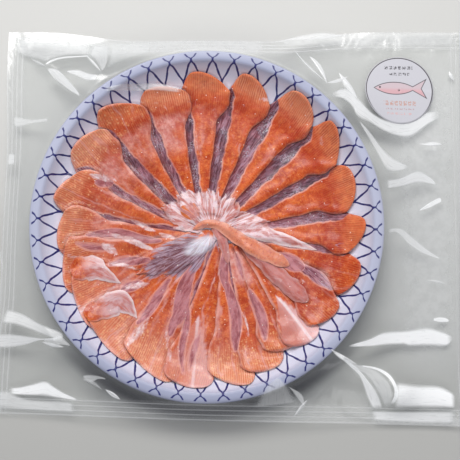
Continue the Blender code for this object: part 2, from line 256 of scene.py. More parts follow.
wall_rise = PLATE_HEIGHT - FLOOR_HEIGHT
wall_run = BAND - FLOOR_RADIUS
plate_face = smooth_run(
    [(FLOOR_RADIUS, FLOOR_HEIGHT)]
    + [(FLOOR_RADIUS + wall_run * out, FLOOR_HEIGHT + wall_rise * up)
       for out, up in ((0.34, 0.08), (0.61, 0.28), (0.81, 0.55), (0.94, 0.85))]
    + places(BAND, PLATE_HEIGHT, (0.2, -0.3), (1.2, 0)), 1.2 * MM)
plate_lip = smooth_run(places(PLATE_RADIUS, PLATE_HEIGHT, (-1.2, -0.05), (-0.2, -0.5), (0, -1.0),
                              (-0.3, -WALL / MM)), 0.3 * MM)
under = FLOOR_HEIGHT - WALL
plate_back = smooth_run(
    places(BAND, PLATE_HEIGHT - WALL, (1.8, -0.2), (0.4, -1.5))
    + [(BAND - 3.0 * MM, FLOOR_HEIGHT + 0.5 * wall_rise),
       (BAND - 8.3 * MM, FLOOR_HEIGHT + 0.2 * wall_rise),
       (BAND - 14.8 * MM, FLOOR_HEIGHT), (FLOOR_RADIUS + 0.5 * MM, under)], 1.5 * MM)
foot_ring = places(FOOT_RADIUS, under, (0.5, 0), (0, -1.2), (-3, -1.2), (-3.5, 0))
plate_profile = np.vstack(
    [[(0, FLOOR_HEIGHT)], plate_face, plate_lip, plate_back, foot_ring, [(0, under)]])

bm = bmesh.new()
ring = [bm.verts.new((out, 0, height)) for out, height in plate_profile]
for first, second in zip(ring, ring[1:]):
    bm.edges.new((first, second))
bmesh.ops.spin(bm, geom=bm.verts[:] + bm.edges[:], cent=(0, 0, 0), axis=(0, 0, 1),
               angle=2 * math.pi, steps=240, use_merge=True)
bmesh.ops.remove_doubles(bm, verts=bm.verts, dist=0.00001)
bmesh.ops.recalc_face_normals(bm, faces=bm.faces)
bmesh.ops.translate(bm, verts=bm.verts, vec=PLATE)
mesh = bpy.data.meshes.new("plate_shell")
bm.to_mesh(mesh)
bm.free()
mesh.shade_smooth()
mesh.set_sharp_from_angle(angle=math.radians(40))
plate_shell = bpy.data.objects.new("plate_shell", mesh)
scene.collection.objects.link(plate_shell)

look = Shader("plate_plastic")
spot, flat = look.spot(), look.flat_way(PLATE)
out = look.vectors("LENGTH", flat, output=1)
turn = look.math("ARCTAN2", look.axis(flat, 0), look.axis(flat, 1))
step = (turn - NET_TURN) * (1 / NET_STEP)
off_cross = abs(look.math("FRACT", step + 0.5) - 0.5)
# How far a strand lies from its cross, in net steps, read from the radius: 84 to 106 mm
strand = look.add("FloatCurve", inputs={1: (out - 84 * MM) / (22 * MM)})
mapping = strand.socket.node.mapping
curve = mapping.curves[0]
curve.points[0].location = (0.0, 0.36)
curve.points[-1].location = (1.0, 0.27)
for share, offset in ((0.245, 0.5), (0.5, 0.29), (0.66, 0.14), (0.767, 0.0), (0.86, 0.16),
                      (0.98, 0.27)):
    curve.points.new(share, offset)
mapping.update()
gap = abs(off_cross - strand) * (out * NET_STEP)
thick = look.ramp(look.noise(spot, 260, 1), 0.35, 0.7, NET_LINE * 0.85, NET_LINE * 1.15)
line = look.ramp(gap / thick, 0.8, 1.35, 1.0, 0.0)
reach = look.ramp(out, 84 * MM, 90 * MM) * look.ramp(out, 104.4 * MM, 104.9 * MM, 1.0, 0.0)
cloud = look.noise(spot, 30, 3)
look.colour = look.blend(cloud, (214, 216, 236), (222, 224, 242))
# Painted shade: the rim's band is darkened, most of all at its upper and lower end
look.coat(look.ramp(out, 97 * MM, 101 * MM), look.blend(
    look.ramp(abs(look.axis(flat, 1)), 50 * MM, 100 * MM), (180, 183, 206), (162, 166, 192)))
look.coat(line * reach * look.faces_up(), (14, 20, 104))
look.finish(look.ramp(cloud, 0.3, 0.7, 0.42, 0.55), look.bump(look.noise(spot, 900, 2), 0.00003))
plate_shell.data.materials.append(look.material)
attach(plate_shell, "root")
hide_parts("plate")

# ------------------------------------------------------------------ slices of the rosette
# Thin slices of raw trout fillet, laid anticlockwise from the right, each on the one before it.
# A slice has a thick round end at the rim, a neck, a silver-grey skin side under the next slice
# and a tail at the middle.

SLICE_THICKNESS = 2.6
# Angle of the end clockwise from +Y, radius of the end, width of the end, where the tail lies
# (x, y), how far the slice bows to the left of its run, how deep its neck is, how pink its body
# and its end are, how pale its end is, and how wide and how grey its skin side shows, in
# degrees, mm and shares
SLICES = (
    (110, 96, 26, 19, -9, 0, 0.5, 0.1, 0.0, 0.0, 0.7, 0.5),
    (93, 95, 24, 15, -5, 0, 0.65, 0.1, 0.0, 0.3, 1.0, 0.6),
    (73.5, 94, 29, 13, -1, 1, 0.7, 0.0, 0.0, 0.4, 1.1, 1.0),
    (55.5, 97, 27, 11, 4, 1, 0.7, 0.0, 0.0, 0.4, 1.1, 1.0),
    (38, 98, 27, 8, 8, 0, 0.7, 0.0, 0.0, 0.8, 1.1, 0.85),
    (18.5, 95, 26, 3, 9, 0, 0.7, 0.1, 0.0, 0.6, 1.1, 1.0),
    (0, 94, 29, -2, 9, -1, 0.65, 0.4, 0.0, 0.4, 1.15, 1.0),
    (342, 91, 31, -7, 7, -1, 0.65, 1.0, 0.0, 0.7, 1.2, 0.9),
    (323, 94, 31, -10, 4, -2, 0.6, 0.7, 0.0, 0.3, 1.55, 1.0),
    (305, 94, 31, -12, 0, -3, 0.55, 0.8, 0.0, 1.5, 1.5, 0.7),
    (286.5, 92, 30, -10, -4, -2, 0.6, 0.2, 0.0, 0.7, 1.4, 0.6),
    (268.5, 91, 31, -8, -6, -1, 0.35, 0.5, 0.0, 0.9, 1.2, 0.6),
    (254, 91, 34, -6, -8, 0, 0.1, 0.3, 0.0, 0.5, 0.9, 0.5),
    (238.5, 92, 37, -3, -9, 0, 0.1, 0.3, 0.2, 0.5, 0.9, 0.5),
    (221.5, 94, 39, 1, -9, 1, 0.0, 0.1, 0.1, 0.8, 1.0, 0.7),
    (203, 94, 37, 4, -9, 2, 0.0, 0.1, 0.1, 0.9, 1.1, 0.1),
    (187, 97, 30, 7, -9, 1, 0.15, 0.1, 0.6, 0.6, 0.5, 0.1),
    (171, 96, 28, 10, -10, 0, 0.2, 0.3, 0.0, 1.7, 1.1, 0.15),
    (158.5, 94, 27, 13, -11, -1, 0.3, 0.1, 0.0, 0.7, 0.6, 0.1),
    (149, 88, 22, 17, -12, -1, 0.2, 0.1, 0.0, 0.4, 0.4, 0.1),
    (140, 93, 23, 20, -12, -2, 0.3, 0.1, 1.0, 0.3, 0.4, 0.1),
    (127, 93, 24, 22, -10, 0, 0.5, 0.2, 0.0, 0.2, 0.4, 0.2),
)
CELL = 0.5
REACH = 104

side_cells = int(2 * REACH / CELL) + 1
axis = np.linspace(-REACH, REACH, side_cells)
map_x, map_y = np.meshgrid(axis, axis, indexing="ij")
# The highest surface so far over each cell of the plate, in mm from the plate's middle
pile = np.interp(np.hypot(map_x, map_y), plate_face[:, 0] / MM, plate_face[:, 1] / MM)
# The number of the piece that lies uppermost over each cell
uppermost = np.zeros_like(pile)


def cells(x, y):
    """Map cells under some points."""
    column = np.clip(np.rint((x + REACH) / CELL).astype(int), 1, side_cells - 2)
    row = np.clip(np.rint((y + REACH) / CELL).astype(int), 1, side_cells - 2)
    return column, row


def spread(field, times):
    """A field in which each cell takes the highest value of its neighbourhood."""
    for _ in range(times):
        rows = np.maximum(np.maximum(field[:-2], field[1:-1]), field[2:])
        field = np.vstack([field[:1], rows, field[-1:]])
        columns = np.maximum(np.maximum(field[:, :-2], field[:, 1:-1]), field[:, 2:])
        field = np.hstack([field[:, :1], columns, field[:, -1:]])
    return field


def near_mean(height):
    """The mean of each grid point's four neighbours, with the edges held by their own."""
    padded = np.pad(height, 1, mode="edge")
    return (padded[:-2, 1:-1] + padded[2:, 1:-1] + padded[1:-1, :-2] + padded[1:-1, 2:]) / 4


def smooth(value):
    """A soft step from 0 to 1."""
    value = np.clip(value, 0, 1)
    return value * value * (3 - 2 * value)


def grid_piece(name, x, y, top, bottom, marks):
    """A piece from a grid of places in mm round the plate's middle: a sheet at one height or,
    with a second height, a closed slice. The marks are values that its vertices carry."""
    rows, columns = x.shape
    layers = [top] if bottom is None else [top, bottom]
    places = np.concatenate([np.column_stack(
        [x.ravel() * MM + PLATE.x, y.ravel() * MM + PLATE.y, z.ravel() * MM]) for z in layers])
    index = np.arange(rows * columns).reshape(rows, columns)
    faces = [np.column_stack([index[:-1, :-1].ravel(), index[:-1, 1:].ravel(),
                              index[1:, 1:].ravel(), index[1:, :-1].ravel()])]
    if bottom is not None:
        faces.append(faces[0][:, ::-1] + rows * columns)
        border = np.concatenate([index[0, :], index[1:, -1], index[-1, -2::-1], index[-2:0:-1, 0]])
        after = np.roll(border, -1)
        faces.append(np.column_stack(
            [border, border + rows * columns, after + rows * columns, after]))
    mesh = bpy.data.meshes.new(name)
    mesh.from_pydata(places.tolist(), [], np.concatenate(faces).tolist())
    for key, value in marks.items():
        layer = mesh.attributes.new(key, "FLOAT", "POINT")
        layer.data.foreach_set("value", np.tile(value.ravel(), len(layers)).astype(np.float32))
    mesh.shade_smooth()
    piece = bpy.data.objects.new(name, mesh)
    scene.collection.objects.link(piece)
    return piece


def lay(name, number, form, along, across, sweeps, gap):
    """Lay a soft slice on the pile, a gap above it. form(u, v) gives its places, thickness and
    marks from the end (u 0) to the tail (u 1) and from side to side (v -1 to 1)."""
    u_line = np.linspace(0, 1, along + 1) ** 1.2
    v_line = np.sin(np.linspace(-1, 1, across + 1) * math.pi / 2)
    u, v = np.meshgrid(u_line, v_line, indexing="ij")
    x, y, thick, marks = form(u, v)
    height = spread(pile, 1)[cells(x, y)] + gap
    for _ in range(sweeps):
        height = np.maximum(height, near_mean(height))
    piece = grid_piece(name, x, y, height + thick, height, marks)

    # The pile rises to the slice's upper face, sampled finer than the map's cells
    fine = 4
    i, j = np.linspace(0, along, along * fine + 1), np.linspace(0, across, across * fine + 1)
    i0, j0 = np.minimum(i.astype(int), along - 1), np.minimum(j.astype(int), across - 1)
    a, b = (i - i0)[:, None], (j - j0)[None, :]

    def finer(values):
        return sum(share * values[np.ix_(i0 + down, j0 + right)] for down, right, share in (
            (0, 0, (1 - a) * (1 - b)), (1, 0, a * (1 - b)), (0, 1, (1 - a) * b), (1, 1, a * b)))

    spots = cells(finer(x), finer(y))
    np.maximum.at(pile, spots, finer(height + thick))
    uppermost[spots] = number
    return piece


def zone(x, y, middle, radii, turn):
    """How deep points lie in a turned ellipse: 1 at its middle, 0 on its edge, less outside."""
    cos, sin = math.cos(math.radians(turn)), math.sin(math.radians(turn))
    along = (x - middle[0]) * cos + (y - middle[1]) * sin
    aside = (y - middle[1]) * cos - (x - middle[0]) * sin
    return 1 - np.hypot(along / radii[0], aside / radii[1])


def near_line(x, y, ends):
    """Distance of points from a line between two places, and how far along it they are."""
    start, run = np.array(ends[:2], float), np.subtract(ends[2:], ends[:2])
    t = np.clip(((x - start[0]) * run[0] + (y - start[1]) * run[1]) / (run @ run), 0, 1)
    return np.hypot(x - start[0] - t * run[0], y - start[1] - t * run[1]), t


def leaf_marks(x, y, leaves):
    """How white points are that lie in leaf-shaped spots: start, stop, half width, whiteness."""
    white = np.zeros_like(x)
    for *ends, width, strength in leaves:
        gap, along = near_line(x + 1.4 * np.sin(y / 7), y + 1.4 * np.sin(x / 7), ends)
        belly = np.maximum(np.sin(math.pi * along), 0) ** 0.75
        inside = strength * smooth((width * belly - gap) / 2.4 + 0.6)
        white = np.maximum(white, inside * smooth(belly / 0.3))
    return white


# Pale fat on the fish with painted glints of the film's folded edges, and mauve skin that shows
# through: x and y of a leaf's start, x and y of its stop, half width and strength
PALE_LEAVES = (
    (-61, -6, -33, -13, 1.9, 1.0), (-47, 4, -31, -2, 1.6, 0.9), (-31, -3, -20, -8, 1.6, 0.7),
    (-60, -24, -42, -26, 1.3, 0.9), (-50, -39, -33, -33, 1.5, 0.9), (-36, -53, -47, -74, 3.0, 0.7),
    (-66, -11, -55, -19, 2.4, 0.9), (-86, -17, -64, -22, 2.2, 0.6), (-75, 33, -56, 26, 1.8, 0.8),
    (-22, -1, -2, -5, 1.8, 0.9), (-26, -59, -19, -86, 1.3, 0.7), (-14, -60, -7, -82, 1.0, 0.4),
    (2, -35, -2, -80, 0.8, 0.4), (13, -19, 2, -38, 1.2, 0.5), (21, -3, 33, -14, 1.2, 0.5),
    (45, -29, 62, -33, 1.3, 0.6), (-84, -45, -70, -53, 2.6, 0.6), (30, 77, 42, 77, 1.3, 0.6),
    (-9, 66, -3, 40, 1.6, 0.5), (18, -46, 26, -70, 1.0, 0.6),
)
MAUVE_LEAVES = (
    (-28, -8, -76, -4, 2.4, 1.0), (-34, -19, -60, -25, 2.4, 0.9), (-37, -33, -52, -41, 2.2, 0.9),
    (-6, -22, -24, -68, 4.0, 0.9), (9, -14, 13, -38, 2.4, 0.9), (13, -30, 19, -76, 2.8, 1.0),
    (42, -17, 60, -25, 4.2, 0.8), (26, -16, 50, -38, 3.0, 0.6), (-82, -9, -58, -16, 2.0, 0.5),
    (-70, 28, -58, 25, 2.6, 0.7), (16, -14, 24, -34, 1.6, 0.5), (26, -38, 36, -72, 3.0, 0.6),
    (-3, -62, -10, -90, 2.2, 0.5), (-20, -30, -44, -60, 2.4, 0.8), (-13, -40, -14, -92, 2.0, 0.6),
)


def place_marks(x, y):
    """Marks that depend only on the place on the plate, so they run on from piece to piece: the
    frosted middle, the grey fan left of it, pale spots with painted glints, mauve spots, painted
    shade on the left, and the left and the bottom."""
    angle = np.arctan2(y - 2, x - 3)
    ragged = 0.10 * np.sin(9 * angle) + 0.07 * np.sin(23 * angle + 1) + 0.05 * np.sin(41 * angle)
    frost = np.maximum(zone(x, y, (-5, 10), (25, 14), 4), zone(x, y, (21, 2.5), (25, 8), -18))
    return {
        "frost": smooth((frost + 0.7 * ragged) / 0.38),
        "lilac": smooth((zone(x, y, (-16, -19), (30, 13), 28) + ragged) / 0.60),
        "chalk": leaf_marks(x, y, PALE_LEAVES), "plum": leaf_marks(x, y, MAUVE_LEAVES),
        "silver": smooth(zone(x, y, (-4, -12), (13, 6), 24) / 0.4),
        "gap": leaf_marks(x, y, ((-15, 11, -6, 3, 3.4, 1.0), (-8, 13, -4, 5, 2.0, 0.9))),
        "dusk": smooth((-x - 5) / 40) * smooth((y + 45) / 40),
        "lower": smooth(np.maximum((-x - 10) / 60, (-y - 5) / 30))
        * (1 - 0.6 * smooth((x - 40) / 30)),
    }


def slice_form(seed, angle, end_radius, width, tail_x, tail_y, bow, neck, pink_body, pink_end,
               pale_end, strip, strip_grey):
    """Outline, thickness and marks of one slice."""
    turn = math.radians(angle)
    end = np.array([math.sin(turn), math.cos(turn)]) * end_radius
    length = math.hypot(tail_x - end[0], tail_y - end[1])
    ahead = (np.array([tail_x, tail_y]) - end) / length
    aside = np.array([ahead[1], -ahead[0]])
    round_end = 0.15 - 0.08 * (1 - neck)

    def form(u, v):
        # The end is half an ellipse, slanted so that it reaches furthest left of its middle
        front = 1 - np.clip(u / round_end, 0, 1)
        domed = np.sqrt(1 - 0.5 * front ** 2)
        set_back = round_end * (1 - front * np.sqrt(1 - 0.5 * v ** 2)) - np.clip(u, 0, round_end)
        necked = smooth((u - 0.18) / (0.22 - 0.08 * neck))
        past_end = smooth((u - 0.08) / 0.27)
        slim, plain = 0.60 - 0.48 * u, 0.95 - 0.86 * u
        right = domed * (1 - necked) + (slim * neck + plain * (1 - neck)) * necked
        left = domed * (1 - past_end) + (2.1 - 1.8 * u) * past_end
        half = 0.5 * width * np.where(v < 0, right, left)
        wave = (0.45 * np.sin(1.3 * seed + 16 * u) + 0.3 * np.sin(2.1 * seed + 37 * u)) * (1 - u)
        side = half * v + wave * np.where(v < 0, -v, 0)
        slant = -0.10 - 0.27 * neck + 0.12 * math.sin(2.7 * seed)
        slanted = slant * np.clip(side, -width / 2, width / 2)
        run = length * (u + set_back) + slanted * (1 - u) ** 5
        across = side - bow * 4 * u * (1 - u)
        x = end[0] + ahead[0] * run + aside[0] * across
        y = end[1] + ahead[1] * run + aside[1] * across
        edge = np.minimum((1 - np.abs(v)) * half, length * u)
        round_edge = np.sqrt(1 - (1 - np.clip(edge / 2.4, 0, 1)) ** 2) ** (2 - neck)
        skin = side - width * (0.46 - 0.46 * u) - 15 * (1 - smooth((u - 0.03) / 0.15))
        skin = skin - 5.5 * (1 - strip)
        fat_end = 1 + 0.8 * neck * (1 - smooth((u - 0.18) / 0.09))
        thick = SLICE_THICKNESS * (0.10 + 0.90 * round_edge) * (1 - 0.3 * v * v)
        thick = thick * (1 - 0.62 * u) * fat_end
        thick = thick * (1 - 0.35 * smooth((skin + 0.8) / 2.4))
        thick = thick + round_edge * (0.14 * np.sin(0.45 * run + 0.3 * side + seed)
                                      + 0.10 * np.sin(0.9 * side - 0.35 * run + 2 * seed))
        marks = {
            "run": run, "side": side, "seed": np.full_like(u, seed * 17.0), "skin": skin,
            "edge": edge, "tail": u, "fade": np.ones_like(u), "grey": np.full_like(u, strip_grey),
            "pale": pale_end * smooth((0.26 + 0.09 * (1 - neck) - u) / 0.20),
            # deep is painted shade: dark red below the end at the neck, stronger where the slice
            # points to the lower right, and on the lower right of the plate
            "deep": max(neck, 0.5 * math.cos(turn - 2.4)) * smooth((u - 0.09) / 0.10)
            * smooth((0.40 - u) / 0.14) + 0.3 * smooth((x - 45) / 20) * smooth(-y / 20),
            "pink": pink_body * smooth((u - 0.19) / 0.08) * smooth((0.58 - u) / 0.2)
            + 1.4 * smooth(zone(x, y, (18, -25), (17, 11), -40) / 0.6),
            "petal": pink_end * smooth((0.49 - u - 0.75 * np.abs(side + 1) / width) / 0.025)}
        marks.update(place_marks(x, y))
        return x, y, np.maximum(thick, 0.2), marks

    return form


slices = []
for number, row in enumerate(SLICES, start=1):
    slices.append(lay(f"fish_slice_{number:02d}", number, slice_form(number, *row),
                      along=110, across=36, sweeps=18, gap=0.12))
    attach(slices[-1], "root")
    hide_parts(f"slice_{number:02d}")


def flesh(name, white, mauve):
    """Raw trout: orange flesh with fine muscle lines, pink veils and a speckled grey skin side.
    White and mauve are how far the flesh of a loose piece turns to those colours."""
    look = Shader(name)
    ramp, noise, mark, vector = look.ramp, look.noise, look.mark, look.vector
    blend, coat = look.blend, look.coat
    run, side, seed, tail, lower = (mark(key) for key in ("run", "side", "seed", "tail", "lower"))
    place = vector(run, side, seed)
    soft = noise(place, 0.10, 2)
    cloud = noise(place, 0.32, 3, 0.6)
    grain = noise(place, 1.5, 3, 0.7)
    head = ramp(tail, 0.20, 0.36, 1.0, 0.0)
    body = 1.0 - head
    look.colour = blend(ramp(soft, 0.34, 0.66), (176, 58, 22), (210, 92, 40))
    coat(ramp(cloud, 0.46, 0.70) * 0.5, (236, 128, 58))
    # Muscle lines run along the slice, about 1.3 mm apart, and show most in the pale end
    pale = mark("pale")
    wobble = noise(vector(run * 0.05, side * 0.10, seed), 1.0, 2)
    coat(pale * ramp(cloud, 0.25, 0.6, 0.55, 1.0), (220, 132, 98))
    lines = ramp(look.math("SINE", side * 4.8 + wobble * 16), -0.9, 0.8)
    strength = head * (pale * 0.40 + 0.30) + 0.05
    coat(lines * strength * ramp(soft, 0.25, 0.6, 1.0, 0.4),
         blend(pale, (238, 146, 80), (246, 184, 152)))
    # Painted shade: dark red at the neck below each end and towards the lower right
    coat(mark("deep") * ramp(cloud, 0.3, 0.65, 1.0, 0.6), (166, 34, 8))
    # Fine grain: short flakes across the body, and pale dots on the lower ends
    flakes = noise(vector(run * 0.9, side * 0.5, seed), 1.0, 2, 0.6, 0.8)
    coat(ramp(flakes, 0.50, 0.68) * body * 0.38, (240, 146, 84))
    coat(ramp(flakes, 0.30, 0.44, 1.0, 0.0) * body * 0.6, (174, 44, 12))
    bead = look.add("TexVoronoi", inputs={"Vector": place, "Scale": 0.62})
    dots = ramp(bead, 0.24, 0.48, 1.0, 0.0) * ramp(cloud, 0.42, 0.58) * head * lower
    coat(dots * 0.6, (248, 186, 138))
    # Pink veils
    patches = noise(vector(run * 0.06, side * 0.14, seed), 1.0, 3, 0.55)
    veil = mark("pink") * ramp(patches, 0.36, 0.58, 0.25, 0.92)
    veil = look.math("MAXIMUM", veil, ramp(patches, 0.58, 0.70) * body * 0.5)
    coat(veil, blend(ramp(cloud, 0.3, 0.7), (206, 122, 112), (232, 172, 164)))
    # The skin side: a dark band that starts at the end's left and narrows to the tail, grey and
    # speckled with silver near the rim, and mauve nearer the middle
    wander = ramp(noise(vector(run * 0.08, 0.0, seed), 1.0, 3), 0.25, 0.75, -1.1, 1.1)
    skin = mark("skin") + wander
    threads = ramp(noise(vector(run * 0.16, side * 1.1, seed), 1.0, 3, 0.6, 0.4), 0.36, 0.64)
    grey = mark("grey")
    still_grey = ramp(tail, 0.34, 0.58, 1.0, ramp(grey, 0.7, 1.0, 0.12, 0.75))
    leather = blend(grey * still_grey * ramp(noise(place, 0.12, 2), 0.32, 0.52, 0.3, 1.0),
                    blend(threads, (126, 58, 72), (190, 134, 148)),
                    blend(threads, (58, 26, 38), (118, 80, 98)))
    silver = ramp(noise(place, 0.10, 1), 0.50, 0.60) * grey
    leather = blend(ramp(grain, 0.50, 0.62) * silver * 0.75, leather, (196, 192, 206))
    # White-lilac smears on the skin side are painted highlights of the film's gloss
    smears = noise(vector(run * 0.10, side * 0.34, seed), 1.0, 4, 0.65)
    leather = blend(ramp(smears, 0.54, 0.68) * 0.55, leather, (200, 168, 188))
    coat(ramp(skin, -0.35, 0.35), leather)
    coat(ramp(skin, -1.1, -0.3) * ramp(skin, -0.1, 0.5, 1.0, 0.0) * ramp(tail, 0.12, 0.22)
         * ramp(soft, 0.35, 0.55, 0.25, 0.8), (226, 164, 152))
    # Pale veins wander along the lower slices
    vein = abs(look.math("SINE", side * 0.34 + wobble * 4.5))
    coat(ramp(vein, 0.05, 0.42, 0.6, 0.0) * lower * ramp(patches, 0.40, 0.60), (224, 158, 150))
    # Thin pale fat along the edges, and dark red painted shade where a neighbour lies over the
    # slice
    uneven = ramp(noise(place, 0.15, 2), 0.35, 0.60, 0.25, 1.0)
    fat = ramp(mark("edge"), 0.4, ramp(lower, 0, 1, 1.2, 2.3), 1.0, 0.0)
    coat(fat * uneven * ramp(lower, 0, 1, 0.25, 0.85), (236, 172, 160))
    coat(mark("edge_shade") * uneven * ramp(lower, 0, 1, 0.9, 0.30), (104, 22, 22))
    # The folded end of a slice shows its pink inner side, with a white painted highlight along one
    # fold
    petal = mark("petal")
    coat(petal * 0.85, blend(
        ramp(side * 0.16 + smears, -0.5, 1.6), (206, 132, 122), (240, 200, 202)))
    fold = abs(side - (run - 30) * -0.12)
    coat(ramp(fold, 0.3, 1.5, 0.85, 0.0) * petal, (246, 226, 230))
    # Mauve spots, and white spots of pale fat and painted glints of the film, with torn borders
    torn = (noise(vector(run * 0.14, side * 0.5, seed), 1.0, 4, 0.65) - 0.5) * 1.8
    plum = mark("plum")
    plum = plum + torn * 0.5 * plum
    coat(ramp(plum, 0.04, 0.22) * 0.6, (226, 164, 158))
    coat(ramp(plum, 0.30, 0.55, 0.0, 0.9), blend(
        ramp(smears, 0.36, 0.60), (146, 72, 82), (194, 130, 138)))
    chalk = ramp(mark("chalk") + torn, 0.35, 0.90)
    coat(chalk * 0.9, blend(ramp(cloud, 0.34, 0.62), (220, 166, 164), (244, 222, 226)))
    # Loose pieces: white-pink or mauve, streaked along their run
    streak = noise(vector(run * 0.08, side * 0.25, seed), 1.0, 4, 0.55, 0.8)
    fade = mark("fade")
    coat(fade * mauve * ramp(streak, 0.30, 0.6, 0.6, 1.0),
         blend(streak, (162, 74, 76), (214, 140, 132)))
    coat(fade * white * ramp(streak, 0.32, 0.52, 0.45, 1.0), blend(
        ramp(streak, 0.34, 0.64), (198, 144, 148), (234, 208, 214)))
    coat(ramp(mark("edge"), 0.5, 2.0, 0.8, 0.0) * white * fade, (246, 224, 224))
    # The grey fan and the frosted middle, streaked along rays from the fan's tip and the middle
    for key, tip, turns, share, low, high, dull, bright in (
            ("lilac", (7, -7), 17.0, 0.88, 0.38, 0.64, (92, 56, 74), (178, 158, 178)),
            ("frost", (3, -4), 7.0, 0.94, 0.40, 0.60, (196, 122, 116), (240, 214, 220))):
        flat = look.flat_way(Vector((PLATE.x + tip[0] * MM, PLATE.y + tip[1] * MM, 0)))
        out = look.vectors("LENGTH", flat, output=1)
        ray = look.add("VectorMath", operation="SCALE", inputs={
            0: look.vectors("NORMALIZE", flat), "Scale": turns})
        rays = noise(look.vectors("ADD", ray, vector(0.0, 0.0, out * 70)), 1.3, 4, 0.62, 0.9)
        ragged = (rays - 0.5) * 1.6
        coat(ramp(mark(key) + ragged, 0.22, 0.62) * share,
             blend(ramp(rays, low, high), dull, bright))
    # Painted shade darkens the flesh on the left
    coat(mark("dusk") * ramp(noise(place, 0.2, 2), 0.3, 0.7, 0.05, 0.26), (120, 44, 30))
    # The fan's tip is silvery, and orange flesh shows in a gap of the frosted middle
    coat(mark("silver") * ramp(rays, 0.35, 0.6, 0.5, 1.0), (218, 212, 224))
    coat(ramp(mark("gap") + ragged, 0.3, 0.7) * ramp(rays, 0.46, 0.56), blend(
        cloud, (196, 78, 34), (232, 140, 88)))
    # Small painted glints of the film, scattered over the flesh
    painted_glint = look.add("TexVoronoi", inputs={"Vector": place, "Scale": 0.22})
    coat(ramp(painted_glint, 0.05, 0.09, 1.0, 0.0) * 0.7, (250, 234, 226))
    for key, value in (("Subsurface Weight", 0.10), ("Subsurface Radius", (0.003, 0.0010, 0.0005)),
                       ("Subsurface Scale", 1.0), ("Specular IOR Level", 0.14)):
        look.surface.inputs[key].default_value = value
    relief = lines * head * 0.35 + (grain * 0.5 + (flakes * body * 0.8 + cloud * 2.4))
    look.finish(ramp(grain, 0.3, 0.7, 0.36, 0.52), look.bump(relief, 0.00024))
    return look.material


slice_flesh = flesh("slice_flesh", 0.0, 0.0)
for fish in slices:
    fish.data.materials.append(slice_flesh)

# ------------------------------------------------------------------ loose pieces on the rosette
# Short ends and curled strips of the same fish that lie on the slices, cover the middle and
# are pressed flat by the film.

frosted = flesh("frosted_flesh", 0.35, 0.2)
pale = flesh("pale_flesh", 0.92, 0.5)
mauve = flesh("mauve_flesh", 0.15, 0.9)
filmy = flesh("filmy_flesh", 0.75, 0.6)
bright = flesh("bright_flesh", 0.10, 0.0)
# Pieces are numbered as they are laid: the slices up to 22, then these in the table's order
FIRST_LOOSE = 23
FLAPS = (24, 25)
ARC = 33
# A name, the node it stands for, its flesh, its thickness, how ragged its ends are, whether it
# takes the marks of its place, and its run: x, y, width
LOOSE = (
    ("loose_short_slice", "short_slice", mauve, 2.0, 0, 0,
     ((61, -46, 6), (55, -41, 10), (45, -32, 11), (34, -22, 9), (21, -12, 4))),
    ("loose_flap_left", "flap_left", filmy, 0.6, 0, 0,
     ((-83, -26, 9), (-77, -26, 14), (-69, -26, 15), (-61, -30, 8), (-52, -35, 1))),
    ("loose_flap_low", "flap_low", filmy, 0.6, 0, 0,
     ((-74, -53, 8), (-68, -52, 12), (-60, -49, 14), (-53, -46, 15), (-47, -50, 8), (-42, -56, 1))),
    ("middle_curl", "centre_curl", slice_flesh, 0.7, 2, 1,
     ((-42, -27, 8), (-31, -22, 17), (-18, -17, 19), (-4, -9, 15), (6, -4, 7))),
    ("middle_tail_1", "centre_tail_1", frosted, 0.8, 1.2, 1,
     ((-27, 12, 5), (-21, 9, 11), (-11, 4, 14), (-2, -1, 9))),
    ("middle_tail_2", "centre_tail_2", frosted, 0.8, 1.2, 1,
     ((-17, 19, 5), (-12, 13, 12), (-6, 7, 13), (-1, 0, 8))),
    ("middle_tail_3", "centre_tail_3", frosted, 0.8, 1.2, 1,
     ((-1, 20, 5), (0, 15, 13), (1, 9, 13), (1, 1, 8))),
    ("middle_tail_4", "centre_tail_4", frosted, 0.8, 1.2, 1,
     ((17, 16, 5), (14, 11, 12), (11, 6, 12), (9, -2, 12), (11, -10, 8))),
    ("middle_fold", "centre_fold", mauve, 0.95, 0, 0,
     ((13, -23, 2), (11, -15, 5), (9, -8, 6), (6, -1, 7), (2, 4, 6))),
    ("middle_band", "centre_band", pale, 0.95, 0, 1,
     ((67, -14.5, 1), (56, -11, 5), (43, -7, 8), (30, -3, 10), (17, 1, 10))),
    ("middle_arc", "centre_arc", bright, 1.5, 0, 0,
     ((50, -24, 5), (41, -19.5, 9), (28, -13, 9.5), (17, -6, 8), (8, 0, 6), (-1, 1.5, 5),
      (-9, -2, 3))),
)


